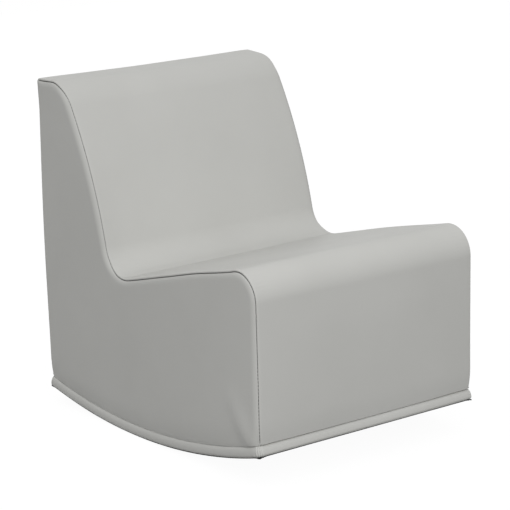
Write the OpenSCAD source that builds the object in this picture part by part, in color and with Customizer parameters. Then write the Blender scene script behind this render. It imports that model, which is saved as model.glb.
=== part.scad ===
// Floor rocker for a child: a padded low seat on an upholstered, curved base board.
// X runs across, with the seat facing -Y and +Z up. It stands on a level floor at z = 0.
// The side outline is drawn square to the base, then leans back about the rocker's centre.

/* [Overall] */
// Width over the side covers
body_w = 406; // [360:2:480]
// Front face to the lowest point of the rocker
front_reach = 297; // [270:1:320]
// Lean back of the whole seat when it stands at rest, in degrees
rest_lean = 0.7; // [0:0.1:3]

/* [Rocker base] */
// Radius of the curved base, out to the cloth that meets the floor
rocker_r = 1063; // [900:1:1300]
// Thickness of the bent plywood board
board_t = 12; // [9:0.5:15]
// Dust cloth under the board
cloth_t = 1; // [0.6:0.1:1.5]
// Rounding of the base's corners, seen from above
band_corner_r = 8.5; // [8:0.5:12]
// Rounding of the band's upper and lower edge
band_edge_r = 5; // [3:0.5:6]
// Bare margin outside the dust cloth
cloth_margin = 9; // [8:0.5:20]
// Margin of the board's vinyl on its top and underside
board_hem_w = 40; // [25:1:45]

/* [Seat] */
// Height of the seat's front edge above the rocker's lowest point, before rounding
seat_front_h = 316; // [290:1:340]
// Front face to the crease of seat and back, before rounding
seat_depth = 354; // [330:1:390]
// Fall of the seat towards the back, in degrees
seat_slope = 13; // [8:0.5:16]
// Crown of the seat between its front edge and the crease
seat_crown = 2; // [0:0.5:5]
// Rounding of the seat's front edge
seat_front_r = 43; // [34:1:50]
// Rounding of the crease between seat and back
crease_r = 46; // [30:1:60]

/* [Back] */
// Lean of the lower back from upright, in degrees
back_lean = 13; // [8:0.5:16]
// Length of the lower back, from the crease to the bow
back_lower_l = 155; // [140:1:175]
// Length of the upper back, from the bow to the top
back_upper_l = 143; // [130:1:165]
// Further lean of the upper back, in degrees
back_bow = 16.3; // [10:0.1:20]
// Rounding from the back onto its top
back_top_r = 63; // [50:1:75]
// Level top of the back, from its front edge before rounding to the rear face
back_top_depth = 74; // [68:1:90]
// Rise of the top towards the rear, in degrees
back_top_slope = 3.6; // [0:0.1:6]
// Swell of the rear face between its top and bottom
rear_crown = 4; // [0:0.5:8]

/* [Covers] */
// Thickness of the vinyl
cover_t = 1.2; // [0.8:0.1:1.6]
// How far a side cover rolls in to its seam
side_roll = 4.5; // [2:0.1:7]
// Width of that roll on the side
side_roll_w = 22; // [12:1:30]
// How far the seat and back cover rolls down to the seam
wrap_roll = 3; // [1.5:0.1:4]
// Width of that roll
wrap_roll_w = 12; // [8:1:18]
// Rounding of the covers where they turn under the body
tuck_r = 4; // [3:0.5:10]
// Rounding at the rear top seam
rear_top_r = 6; // [4:0.5:10]

/* [Padding] */
// Foam on the seat
seat_pad_t = 40; // [30:1:45]
// Foam on the back
back_pad_t = 35; // [25:1:38]
// Foam over the top of the back
top_pad_t = 20; // [14:1:26]
// Foam on the front
front_pad_t = 15; // [10:1:22]
// Foam on the rear
rear_pad_t = 12; // [8:1:16]
// Foam on each side
side_pad_t = 12; // [10:1:16]

/* [Frame] */
// Plywood of the side and centre frames
rib_t = 15; // [12:1:18]
// Plywood deck under the seat foam
seat_deck_t = 9; // [6:0.5:12]
// Bendable plywood behind the back foam
back_deck_t = 6; // [4:0.5:8]
// Hardboard front panel
front_panel_t = 4; // [3:0.5:6]
// Plywood rear panel
rear_panel_t = 9; // [6:0.5:12]
// Thickness of the cross rails
rail_t = 20; // [16:1:24]
// Depth of the cross rails
rail_h = 56; // [48:1:64]

/* [Fasteners] */
// Shank of the frame screws
screw_d = 4; // [3.5:0.1:5]
// Length of the frame screws
screw_l = 50; // [40:1:60]
// Shank of the base bolts
bolt_d = 6; // [5:1:8]
// Height of the glued corner blocks
block_h = 36; // [30:1:45]
// Side of the corner blocks
block_w = 48; // [40:1:56]
// Largest spacing of the staples in the dust cloth
staple_pitch = 52; // [35:1:70]

/* [Hidden] */

// Gap left between neighbouring pieces
fit = 0.3;
// Overrun of every cut
over = 1;
// Least rounding inside a corner of the covers
least_r = 1;
// Share of the back's flats that its bow takes up
bow_share = 0.97;
// Share of a step that the rear cover starts below the seam it meets the back's cover at
seam_gap_share = 0.25;
// Steps along a rounded corner, a small corner, a band's edge, a crowned face and the base
round_steps = 8;
corner_steps = 4;
edge_steps = 3;
crown_steps = 6;
base_steps = 16;
// Screw head, washer, bolt head and insert nut
screw_head_d = 2 * screw_d;
washer_d = 3 * bolt_d;
washer_t = bolt_d / 4;
bolt_head_d = 2.5 * bolt_d;
bolt_head_t = bolt_d / 2;
nut_flange_d = 3 * bolt_d;
nut_flange_t = bolt_d / 4;
nut_barrel_d = 1.4 * bolt_d;
nut_barrel_l = 1.5 * bolt_d;
bore_play = 0.2;
// Wire of the staples, their crown and their legs
staple_wire = 0.6;
staple_crown = 11;
staple_leg = 8;
staple_inset = 7;
// How the covers roll in to a seam: share of the roll's width, share of its drop
roll_shares = [[0, 1], [0.07, 0.55], [0.24, 0.22], [0.55, 0.06], [1, 0]];

// Layers of the base, as distances in from the rocker's surface
board_cover_d = cloth_t + fit / 2;
board_d = board_cover_d + cover_t + fit;
board_top_d = board_d + board_t;
base_t = board_top_d + fit + cover_t;
band_t = base_t - board_cover_d;
// Layers of the body, as distances in from the covers' faces
pad_d = cover_t + fit;
body_bottom_d = base_t + fit;
frame_bottom_d = body_bottom_d + cover_t + fit;
seat_deck_d = pad_d + seat_pad_t + fit;
back_deck_d = pad_d + back_pad_t + fit;
front_panel_d = pad_d + front_pad_t + fit;
rear_panel_d = pad_d + rear_pad_t + fit;
top_d = pad_d + top_pad_t + fit;
// Distances in for the frame: front, seat, lower back, upper back, top, rear, bottom
frame_ds = [
    front_panel_d + front_panel_t + fit,
    seat_deck_d + seat_deck_t + fit,
    back_deck_d + back_deck_t + fit,
    back_deck_d + back_deck_t + fit,
    top_d,
    rear_panel_d + rear_panel_t + fit,
    frame_bottom_d
];
// The same for the outer faces of the decks and panels, and for the foam's inner faces
deck_ds = [front_panel_d, seat_deck_d, back_deck_d, back_deck_d, top_d, rear_panel_d, frame_bottom_d];
foam_ds = [for (k = [0:6]) k < 6 ? deck_ds[k] - fit : 0];
// Width between the side pads, and between the side frames
inner_w = body_w - 2 * (pad_d + side_pad_t + fit);
rail_l = inner_w - 2 * (rib_t + fit);

// Outline of the body, in its own upright plane: [depth, height]
lower_a = 90 - back_lean;
upper_a = lower_a - back_bow;
v_front = [-front_reach, seat_front_h];
v_crease = v_front + seat_depth * [1, -tan(seat_slope)];
v_bow = v_crease + back_lower_l * [cos(lower_a), sin(lower_a)];
v_top = v_bow + back_upper_l * [cos(upper_a), sin(upper_a)];
v_rear = v_top + back_top_depth * [1, tan(back_top_slope)];
rear_reach = v_rear[0];
reach = 2 * (front_reach + rear_reach);
// Radius of the bow in the back: it fills the flats between the crease and the top
crease_run = crease_r * tan((lower_a + seat_slope) / 2);
top_run = back_top_r * tan((upper_a - back_top_slope) / 2);
back_bow_r = bow_share * min(back_lower_l - crease_run, back_upper_l - top_run) / tan(back_bow / 2);

function last(list) = list[len(list) - 1];
function unit(a) = [cos(a), sin(a)];
function inward(a) = [sin(a), -cos(a)];
// Corner v of edges that run at a1 and then a2, after they move in by d1 and d2
function moved(v, a1, a2, d1, d2) = v + (d2 * unit(a1) - d1 * unit(a2)) / sin(a2 - a1);
// Points of the rounding at corner v, between edges that run at a1 and a2
function rounding(v, a1, a2, r, steps) = r == 0 ? [v] :
    let (s = sign(a1 - a2), c = v - r * tan(abs(a1 - a2) / 2) * unit(a1) + s * r * inward(a1))
    [for (k = [0:steps]) c - s * r * inward(a1 + (a2 - a1) * k / steps)];
// Height of the base curve of radius r at depth y
function base_z(y, r) = rocker_r - sqrt(r * r - y * y);
function base_a(y, r) = asin(y / r);
// Corners of the outline after each edge moves in by its distance in ds
function corners(ds) = [
    moved(v_front, 90, -seat_slope, ds[0], ds[1]),
    moved(v_crease, -seat_slope, lower_a, ds[1], ds[2]),
    moved(v_bow, lower_a, upper_a, ds[2], ds[3]),
    moved(v_top, upper_a, back_top_slope, ds[3], ds[4]),
    moved(v_rear, back_top_slope, -90, ds[4], ds[5])
];
// Points between p and q, on a face that swells by crown in its middle
function crowned(p, q, crown) = norm(crown) == 0 ? [] :
    [for (k = [1:crown_steps - 1]) let (u = k / crown_steps) p + (q - p) * u + 4 * crown * u * (1 - u)];
// The stretches of the outline, with roundings rs: tuck, front, crease, bow, top, rear top
function front_turn(ds, rs) =
    let (y = ds[0] - front_reach, r = rocker_r - ds[6])
    rounding([y, base_z(y, r)], 180 + base_a(y, r), 90, rs[0], corner_steps);
function over_top(ds, rs, crowns) =
    let (v = corners(ds),
        front = rounding(v[0], 90, -seat_slope, rs[1], round_steps),
        crease = rounding(v[1], -seat_slope, lower_a, rs[2], round_steps))
    concat(
        front, crowned(last(front), crease[0], crowns[0] * -inward(-seat_slope)), crease,
        rounding(v[2], lower_a, upper_a, rs[3], round_steps),
        rounding(v[3], upper_a, back_top_slope, rs[4], round_steps)
    );
function top_corner(ds, rs) = rounding(corners(ds)[4], back_top_slope, -90, rs[5], corner_steps);
function rear_turn(ds, rs) =
    let (y = rear_reach - ds[5], r = rocker_r - ds[6])
    rounding([y, base_z(y, r)], -90, base_a(y, r) - 180, rs[0], corner_steps);
function down_rear(ds, rs, crowns) = crowned(last(top_corner(ds, rs)), rear_turn(ds, rs)[0], [crowns[1], 0]);
function under(ds, rs) =
    let (r = rocker_r - ds[6], y1 = last(rear_turn(ds, rs))[0], y0 = front_turn(ds, rs)[0][0])
    [for (k = [1:base_steps - 1]) let (y = y1 + (y0 - y1) * k / base_steps) [y, base_z(y, r)]];
function outline(ds, rs, crowns) = concat(
    front_turn(ds, rs), over_top(ds, rs, crowns), top_corner(ds, rs),
    down_rear(ds, rs, crowns), rear_turn(ds, rs), under(ds, rs)
);
// The covers' outline, moved in by d all round; the body starts above its base
function skin_ds(d) = [d, d, d, d, d, d, body_bottom_d + d];
function skin_rs(d) = [
    max(tuck_r - d, least_r), seat_front_r - d, crease_r + d, back_bow_r - d, back_top_r - d,
    max(rear_top_r - d, least_r)
];
skin_crowns = [seat_crown, rear_crown];
no_crowns = [0, 0];
function skin_outline(d) = outline(skin_ds(d), skin_rs(d), skin_crowns);
frame_rs = [0, 0, 0, back_bow_r - frame_ds[2], 0, 0];
deck_rs = [0, 0, 0, back_bow_r - deck_ds[2], 0, 0];
frame_v = corners(frame_ds);

// Where the outline's own upright plane comes to stand at rest
function rest_y(p) = p[0] * cos(rest_lean) + (p[1] - rocker_r) * sin(rest_lean);
middle_y = (rest_y([-front_reach, base_z(-front_reach, rocker_r)]) + rest_y(v_rear)) / 2;

module at_rest() {
    translate([0, -middle_y, rocker_r]) rotate([-rest_lean, 0, 0]) translate([0, 0, -rocker_r]) children();
}
// A flat outline in [depth, height], given a width about the middle or from x0 outwards
module wide(w) {
    rotate([90, 0, 90]) translate([0, 0, -w / 2]) linear_extrude(w) children();
}
module slab_at(x0, t) {
    rotate([90, 0, 90]) translate([0, 0, x0]) linear_extrude(t) children();
}
// Turns its children along the base curve to depth y, square to the board
module on_base(x, y) {
    translate([x, 0, rocker_r]) rotate([base_a(y, rocker_r), 0, 0]) translate([0, 0, -rocker_r]) children();
}
// Half plane on the left of a line through p at angle a, moved off the line by gap
module left_of(p, a, gap) {
    translate(p) rotate(a) translate([-reach, gap]) square([2 * reach, reach]);
}
module right_of(p, a, gap) {
    translate(p) rotate(a) translate([-reach, -reach - gap]) square([2 * reach, reach]);
}
// Faces between rings of n points each, from ring j to ring i
function strip(j, i, n) = [for (k = [0:n - 1])
    let (a = j * n + k, b = j * n + (k + 1) % n, c = i * n + k, d = i * n + (k + 1) % n)
    each [[a, b, c], [b, d, c]]];
// Solid through rings of outlines, closed at both ends by fans about a point behind the crease
module lofted(rings) {
    n = len(rings[0]);
    m = len(rings);
    polyhedron(
        points = concat([for (r = rings, p = r) p],
            [for (r = [rings[0], last(rings)]) [r[0][0], hub[0], hub[1]]]),
        faces = concat(
            [for (k = [0:n - 1]) [m * n, (k + 1) % n, k]],
            [for (j = [0:m - 2]) each strip(j, j + 1, n)],
            [for (k = [0:n - 1]) [m * n + 1, (m - 1) * n + k, (m - 1) * n + (k + 1) % n]]
        )
    );
}
// Shell through thin rings: each goes out along one path and back along another
module lofted_shell(rings) {
    n = len(rings[0]);
    m = len(rings);
    polyhedron(
        points = [for (r = rings, p = r) p],
        faces = concat(
            [for (k = [0:n / 2 - 2]) each [[k + 1, k, n - 1 - k], [k + 1, n - 1 - k, n - 2 - k]]],
            [for (j = [0:m - 2]) each strip(j, j + 1, n)],
            [for (k = [0:n / 2 - 2]) let (a = (m - 1) * n)
                each [[a + k, a + k + 1, a + n - 1 - k], [a + k + 1, a + n - 2 - k, a + n - 1 - k]]]
        )
    );
}
// The same, but the last ring joins the first
module lofted_loop(rings) {
    m = len(rings);
    polyhedron(
        points = [for (r = rings, p = r) p],
        faces = [for (j = [0:m - 1]) each strip(j, (j + 1) % m, len(rings[0]))]
    );
}
// Point behind the crease from which a straight line reaches every point of the outline
hub = v_crease + seat_depth / 4 * unit((lower_a - seat_slope) / 2 - 90);
function at_x(points, x) = [for (p = points) [x, p[0], p[1]]];
function reversed(list) = [for (k = [len(list) - 1:-1:0]) list[k]];

// The base is swept about the rocker's centre. The board stops half a band's thickness short of the
// band's outer face, and foam beads fill its edge out to the vinyl.
band_half = band_t / 2;
band_r = rocker_r - board_cover_d - band_half;
edge_x = body_w / 2 - band_half;
front_a = asin((band_half - front_reach) / band_r);
rear_a = asin((rear_reach - band_half) / band_r);
pad_half = band_half - cover_t - fit;
// Angle that a length along the base takes up
function along(l) = l / rocker_r * 180 / PI;

// Sweeps a section, drawn as [radius, x], from angle a0 to a1
module swept(a0, a1) {
    translate([0, 0, rocker_r]) rotate([0, 90, 0]) rotate(a0)
        rotate_extrude(angle = a1 - a0, $fn = 360) children();
}
// Section of a layer from one distance in to another, out to x on both sides
module layer(outer_d, inner_d, x) {
    translate([rocker_r - inner_d, -x]) square([inner_d - outer_d, 2 * x]);
}
// Bead's section: the +X half of a square that reaches half_h each way, its corners rounded by r
module bead(half_h, r) {
    intersection() {
        union() {
            square([2 * (half_h - r), 2 * half_h], center = true);
            square([2 * half_h, 2 * (half_h - r)], center = true);
            for (x = [-1, 1], y = [-1, 1]) translate((half_h - r) * [x, y]) circle(r, $fn = 48);
        }
        translate([0, -half_h]) square(2 * half_h);
    }
}
// A loop round the base in plan, in by e from the band's outer edge and in by d from its surface
function band_point(x, l, d) = let (a = l / band_r * 180 / PI)
    [x, (rocker_r - d) * sin(a), rocker_r - (rocker_r - d) * cos(a)];
function band_loop(e, d) =
    let (
        r = max(band_corner_r - e, band_corner_r - band_half),
        x = body_w / 2 - e - r,
        l1 = rear_a * PI / 180 * band_r + band_half - e - r,
        l0 = front_a * PI / 180 * band_r - band_half + e + r,
        turn = function (cx, cl, t0) [for (k = [0:corner_steps]) let (t = t0 + 90 * k / corner_steps)
            band_point(cx + r * cos(t), cl + r * sin(t), d)],
        side = function (cx, from, to) [for (k = [1:base_steps - 1])
            band_point(cx, from + (to - from) * k / base_steps, d)]
    )
    concat(
        turn(x, l1, 0), turn(-x, l1, 90), side(-x - r, l1, l0),
        turn(-x, l0, 180), turn(x, l0, 270), side(x + r, l0, l1)
    );

// Loops over the band from its lower hem round its edge to its upper hem, in by t from its surface
function band_skin(t) =
    let (r = band_edge_r - t, low = board_cover_d + t, high = base_t - t, quarter = [0:90 / edge_steps:90])
    concat(
        [band_loop(board_hem_w, low)],
        [for (a = quarter) band_loop(t + r * (1 - sin(a)), low + r * (1 - cos(a)))],
        [for (a = quarter) band_loop(t + r * (1 - cos(a)), high - r * (1 - sin(a)))],
        [band_loop(board_hem_w, high)]
    );

bolt_x = rail_l / 2 - block_w / 2;
bolt_front_y = frame_ds[0] + rail_t + fit + block_w / 2 - front_reach;
bolt_rear_y = rear_reach - frame_ds[5] - rail_t - fit - block_w / 2;
bolt_places = [for (x = [-bolt_x, bolt_x], y = [bolt_front_y, bolt_rear_y]) [x, y]];
head_d = board_d + bolt_head_t + washer_t + fit;
block_top_d = frame_bottom_d + block_h;

// Round bar or cut of diameter d, from height z0 to z1
module bar(d, z0, z1) {
    translate([0, 0, z0]) cylinder(h = z1 - z0, d = d, $fn = 32);
}
module rocker_board() {
    color("burlywood") at_rest() difference() {
        swept(front_a, rear_a) layer(board_d, board_top_d, edge_x);
        for (p = bolt_places) on_base(p[0], p[1]) {
            bar(bolt_d + 2 * bore_play, 0, board_top_d + over);
            bar(washer_d + 2 * bore_play, 0, head_d);
        }
    }
}
// Foam beads glued to the four edges of the board
module board_edge_padding() {
    r = band_edge_r - cover_t - 2 * fit;
    color("khaki") at_rest() {
        for (s = [-1, 1]) swept(front_a, rear_a)
            translate([band_r, s * (edge_x + fit)]) rotate(s * 90) bead(pad_half - fit, r);
        for (end = [[front_a, 180], [rear_a, 0]])
            translate([0, 0, rocker_r]) rotate([end[0], 0, 0]) translate([0, 0, -band_r])
                wide(2 * edge_x) rotate(end[1]) translate([fit, 0]) bead(pad_half - fit, r);
    }
}
// Vinyl wrapped round the edge of the board, with a hem on its top and its underside
module board_cover() {
    color("darkgray") at_rest() lofted_loop(concat(band_skin(cover_t), reversed(band_skin(0))));
}
module bottom_cloth() {
    inset = along(cloth_margin - band_half);
    color("black") at_rest()
        swept(front_a + inset, rear_a - inset) layer(0, cloth_t, body_w / 2 - cloth_margin);
}
// One staple with its crown in the cloth and its legs up into the board
module staple() {
    leg_x = (staple_crown - staple_wire) / 2;
    translate([0, -staple_wire / 2, cloth_t - staple_wire]) {
        translate([-staple_crown / 2, 0, 0]) cube([staple_crown, staple_wire, staple_wire]);
        for (s = [-1, 1]) translate([s * leg_x - staple_wire / 2, 0, 0])
            cube([staple_wire, staple_wire, staple_leg]);
    }
}
module cloth_staples() {
    inset = cloth_margin + staple_inset;
    x1 = body_w / 2 - inset;
    y0 = inset - front_reach;
    y1 = rear_reach - inset;
    across = ceil(2 * x1 / staple_pitch);
    along = ceil((y1 - y0) / staple_pitch);
    color("silver") at_rest() {
        for (y = [y0, y1], k = [1:across - 1]) on_base(-x1 + 2 * x1 * k / across, y) staple();
        for (x = [-x1, x1], k = [0:along]) on_base(x, y0 + (y1 - y0) * k / along) rotate(90) staple();
    }
}
module board_washers() {
    low = head_d - washer_t - fit / 2;
    color("silver") at_rest() for (p = bolt_places) on_base(p[0], p[1]) difference() {
        bar(washer_d, low, low + washer_t);
        bar(bolt_d + 2 * bore_play, low - over, low + washer_t + over);
    }
}
module board_bolts() {
    seat = head_d - washer_t - fit;
    color("gray") at_rest() for (p = bolt_places) on_base(p[0], p[1]) {
        bar(bolt_head_d, seat - bolt_head_t, seat);
        bar(bolt_d, seat, block_top_d);
    }
}
module t_nuts() {
    seat = block_top_d + fit / 2;
    color("silver") at_rest() for (p = bolt_places) on_base(p[0], p[1]) difference() {
        union() {
            bar(nut_flange_d, seat, seat + nut_flange_t);
            bar(nut_barrel_d, seat - nut_barrel_l, seat + nut_flange_t / 2);
        }
        bar(bolt_d + bore_play, seat - nut_barrel_l - over, seat + nut_flange_t + over);
    }
}
module corner_blocks() {
    front_y = frame_ds[0] + rail_t + fit - front_reach;
    rear_y = rear_reach - frame_ds[5] - rail_t - fit;
    color("tan") at_rest() for (p = bolt_places) difference() {
        intersection() {
            on_base(p[0], p[1]) translate([-block_w / 2 + fit, -block_w, 0])
                cube([block_w - 2 * fit, 2 * block_w, block_top_d]);
            wide(body_w) intersection() {
                polygon(outline(frame_ds, frame_rs, no_crowns));
                if (p[1] < 0) translate([front_y, 0]) square([block_w, rocker_r]);
                else translate([rear_y - block_w, 0]) square([block_w, rocker_r]);
            }
        }
        on_base(p[0], p[1]) {
            bar(bolt_d + 2 * bore_play, 0, block_top_d + over);
            bar(nut_barrel_d + 2 * bore_play, block_top_d - nut_barrel_l, block_top_d + over);
        }
    }
}

// Cross rails: corner, angle of the long side, which way it runs from the corner
rail_front = frame_ds[0] - front_reach;
rail_rear = rear_reach - frame_ds[5];
rail_places = [
    [[rail_front, base_z(rail_front, rocker_r - frame_bottom_d)], 90],
    [[rail_front, frame_v[0][1] - rail_h], 90],
    [frame_v[1] - rail_h * unit(-seat_slope), -seat_slope],
    [frame_v[1], lower_a],
    [[rail_rear, frame_v[4][1]], -90],
    [[rail_rear, base_z(rail_rear, rocker_r - frame_bottom_d) + rail_h], -90]
];
// Section of rail k, larger all round by grow
module rail_section(k, grow) {
    p = rail_places[k];
    low = k == 0 || k == 5 ? rail_t : 0;
    start = k == 0 ? low : 0;
    translate(p[0]) rotate(p[1]) translate([-start - grow, -rail_t - grow])
        square([rail_h + low + 2 * grow, rail_t + 2 * grow]);
}
module rail(k) {
    color("tan") at_rest() difference() {
        wide(rail_l) intersection() {
            polygon(outline(frame_ds, frame_rs, no_crowns));
            rail_section(k, 0);
        }
        rail_screw_places(k) bar(screw_d - bore_play, 0, screw_l + over);
    }
}
// Puts its children, pointing along +Z from a side frame's outer face, at each screw of rail k
module rail_screw_places(k) {
    p = rail_places[k];
    for (s = [-1, 1], u = [1 / 4, 3 / 4]) {
        c = p[0] + u * rail_h * unit(p[1]) + rail_t / 2 * inward(p[1]);
        translate([s * inner_w / 2, c[0], c[1]]) rotate([0, -s * 90, 0]) children();
    }
}
module front_bottom_rail() { rail(0); }
module seat_front_rail() { rail(1); }
module seat_rear_rail() { rail(2); }
module back_bottom_rail() { rail(3); }
module back_top_rail() { rail(4); }
module rear_bottom_rail() { rail(5); }
module frame_screws() {
    color("silver") at_rest() for (k = [0:5]) rail_screw_places(k) {
        cylinder(h = screw_d / 2 + fit, d1 = screw_head_d, d2 = screw_d, $fn = 32);
        bar(screw_d - 2 * bore_play, 0, screw_l);
    }
}
module side_frame(s) {
    color("burlywood") at_rest() difference() {
        slab_at(s > 0 ? inner_w / 2 - rib_t : -inner_w / 2, rib_t) polygon(outline(frame_ds, frame_rs, no_crowns));
        for (k = [0:5]) rail_screw_places(k) {
            bar(screw_d + 2 * bore_play, -over, rib_t + over);
            translate([0, 0, -fit])
                cylinder(h = screw_d / 2 + 2 * fit, d1 = screw_head_d + 4 * fit, d2 = screw_d, $fn = 32);
        }
    }
}
module side_frame_left() { side_frame(-1); }
module side_frame_right() { side_frame(1); }
module centre_frame() {
    color("burlywood") at_rest() wide(rib_t) difference() {
        polygon(outline(frame_ds, frame_rs, no_crowns));
        for (k = [0:5]) rail_section(k, fit);
    }
}

// Decks and panels: between the frame's outline and the foam's inner face
crease_a = (lower_a - seat_slope) / 2 - 90;
module deck_ring() {
    difference() {
        polygon(outline(deck_ds, deck_rs, no_crowns));
        polygon(outline([for (d = frame_ds) d - fit], frame_rs, no_crowns));
    }
}
module seat_deck() {
    color("burlywood") at_rest() wide(inner_w) intersection() {
        deck_ring();
        left_of(frame_v[0], -seat_slope, fit);
        right_of(v_crease, crease_a, fit / 2);
    }
}
module back_deck() {
    color("burlywood") at_rest() wide(inner_w) intersection() {
        deck_ring();
        left_of(v_crease, crease_a, fit / 2);
        left_of(frame_v[3] - back_pad_t * unit(upper_a), upper_a + 90, 0);
        left_of(frame_v[4], 90, fit);
    }
}
module front_panel() {
    color("peru") at_rest() wide(inner_w) intersection() {
        deck_ring();
        right_of(frame_v[0], -seat_slope, 0);
        left_of([rail_front, 0], 90, fit / 2);
        translate([-reach, base_z(rail_front, rocker_r - frame_bottom_d)]) square(2 * reach);
    }
}
module rear_panel() {
    color("peru") at_rest() wide(inner_w) intersection() {
        deck_ring();
        right_of([rail_rear, 0], 90, fit / 2);
        translate([0, base_z(rail_rear, rocker_r - frame_bottom_d)])
            square([reach, frame_v[4][1] - fit - base_z(rail_rear, rocker_r - frame_bottom_d)]);
    }
}

// Foam: between the covers and the decks, cut where one pad meets the next
foam_rs = [0, 0, 0, back_bow_r - foam_ds[2], 0, 0];
foam_v = corners(foam_ds);
front_cut_z = v_front[1] - seat_front_r - seat_pad_t / 4;
module foam_shell() {
    difference() {
        polygon(skin_outline(pad_d));
        polygon(outline(foam_ds, foam_rs, no_crowns));
    }
}
module seat_pad() {
    color("khaki") at_rest() wide(inner_w) intersection() {
        foam_shell();
        right_of(v_crease, crease_a, fit / 2);
        difference() {
            translate([-reach, 0]) square([2 * reach, reach]);
            front_zone(fit);
        }
    }
}
// Room of the front foam, under the seat foam's nose
module front_zone(grow) {
    translate([-reach, 0]) square([reach + foam_v[0][0] + grow, front_cut_z + grow]);
}
module front_pad() {
    color("khaki") at_rest() wide(inner_w) intersection() {
        foam_shell();
        front_zone(0);
    }
}
module back_pad() {
    color("khaki") at_rest() wide(inner_w) intersection() {
        foam_shell();
        left_of(v_crease, crease_a, fit / 2);
        difference() {
            translate([-reach, 0]) square([2 * reach, reach]);
            rear_zone(fit);
        }
    }
}
// Room of the rear foam, up to the foam over the top of the back
module rear_zone(grow) {
    translate([rear_reach - foam_ds[5] - grow, 0]) square([reach, foam_v[4][1] + grow]);
}
module rear_pad() {
    color("khaki") at_rest() wide(inner_w) intersection() {
        foam_shell();
        rear_zone(0);
    }
}
// Rings of a side's rolled face, in by t from the cover's face: [distance in, x]
function side_rolls(t) = [for (s = roll_shares)
    [wrap_roll + s[0] * side_roll_w + t, body_w / 2 - s[1] * side_roll - t]];
module side_pad(s) {
    rolls = side_rolls(pad_d);
    inner = body_w / 2 - pad_d - side_pad_t;
    color("khaki") at_rest() mirror([s < 0 ? 1 : 0, 0, 0]) lofted(concat(
        [at_x(skin_outline(rolls[0][0]), inner)],
        [for (r = rolls) at_x(skin_outline(r[0]), r[1])]
    ));
}
module side_pad_left() { side_pad(-1); }
module side_pad_right() { side_pad(1); }

// Covers: vinyl shells that roll in to the seams at their edges
module side_cover(s) {
    rolls = side_rolls(0);
    color("darkgray") at_rest() mirror([s < 0 ? 1 : 0, 0, 0]) lofted(concat(
        [for (r = reversed(rolls)) at_x(skin_outline(r[0]), r[1] - cover_t)],
        [for (r = rolls) at_x(skin_outline(r[0]), r[1])]
    ));
}
module side_cover_left() { side_cover(-1); }
module side_cover_right() { side_cover(1); }
// Columns of a cover that runs over the body from side to side: [x, drop]
wrap_edge = body_w / 2 - side_roll - cover_t - fit;
wrap_rolls = [for (s = roll_shares) [wrap_edge - s[0] * wrap_roll_w, s[1] * wrap_roll]];
wrap_columns = concat([for (w = wrap_rolls) [-w[0], w[1]]], reversed(wrap_rolls));
function shell_ring(outer, inner, x) = at_x(concat(outer, reversed(inner)), x);
function wrap_path(d) =
    let (ds = skin_ds(d), rs = skin_rs(d), c = top_corner(ds, rs))
    concat(front_turn(ds, rs), over_top(ds, rs, skin_crowns), [for (k = [0:corner_steps / 2]) c[k]]);
function rear_path(d) =
    let (ds = skin_ds(d), rs = skin_rs(d), c = top_corner(ds, rs), k = corner_steps / 2)
    concat([c[k] + (c[k + 1] - c[k]) * seam_gap_share, c[k + 1], c[k + 2]],
        down_rear(ds, rs, skin_crowns), rear_turn(ds, rs));
module seat_back_cover() {
    color("darkgray") at_rest()
        lofted_shell([for (c = wrap_columns) shell_ring(wrap_path(c[1]), wrap_path(c[1] + cover_t), c[0])]);
}
module rear_cover() {
    color("darkgray") at_rest()
        lofted_shell([for (c = wrap_columns) shell_ring(rear_path(c[1]), rear_path(c[1] + cover_t), c[0])]);
}

bottom_cloth();
cloth_staples();
board_cover();
board_edge_padding();
rocker_board();
board_bolts();
board_washers();
t_nuts();
corner_blocks();
side_frame_left();
side_frame_right();
centre_frame();
front_bottom_rail();
seat_front_rail();
seat_rear_rail();
back_bottom_rail();
back_top_rail();
rear_bottom_rail();
frame_screws();
seat_deck();
back_deck();
front_panel();
rear_panel();
seat_pad();
back_pad();
front_pad();
rear_pad();
side_pad_left();
side_pad_right();
seat_back_cover();
rear_cover();
side_cover_left();
side_cover_right();
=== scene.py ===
"""Looks of a child's upholstered floor rocker: its sewn vinyl covers, seams, base band and underside.

Everything is in metres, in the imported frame: X runs across, the seat faces -Y, and Z is up from the floor.
Covers are worked out in the seat's own upright outline plane and then leaned back to where it rests.
"""

import math

import bmesh
import bpy
import numpy as np
from mathutils import Matrix, Vector, noise
from mathutils.geometry import delaunay_2d_cdt

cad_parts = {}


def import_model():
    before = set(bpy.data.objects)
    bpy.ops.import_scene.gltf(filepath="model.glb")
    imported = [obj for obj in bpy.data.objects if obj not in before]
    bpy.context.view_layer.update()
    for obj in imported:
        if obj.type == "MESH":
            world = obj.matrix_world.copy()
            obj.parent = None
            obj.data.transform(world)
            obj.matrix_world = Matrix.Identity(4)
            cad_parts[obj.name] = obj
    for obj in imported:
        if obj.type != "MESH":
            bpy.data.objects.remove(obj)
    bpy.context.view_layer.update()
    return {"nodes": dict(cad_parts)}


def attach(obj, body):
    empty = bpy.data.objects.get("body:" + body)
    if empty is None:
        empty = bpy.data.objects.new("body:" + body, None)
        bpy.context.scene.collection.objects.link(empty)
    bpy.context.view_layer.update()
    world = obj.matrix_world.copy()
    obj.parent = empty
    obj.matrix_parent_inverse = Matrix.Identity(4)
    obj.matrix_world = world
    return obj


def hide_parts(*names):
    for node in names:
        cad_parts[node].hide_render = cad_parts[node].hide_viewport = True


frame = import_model()

# Overall sizes, and the lean at rest in degrees
BODY_W = 0.406
FRONT_REACH = 0.297
REST_LEAN = 0.7
ROCKER_R = 1.063
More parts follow.
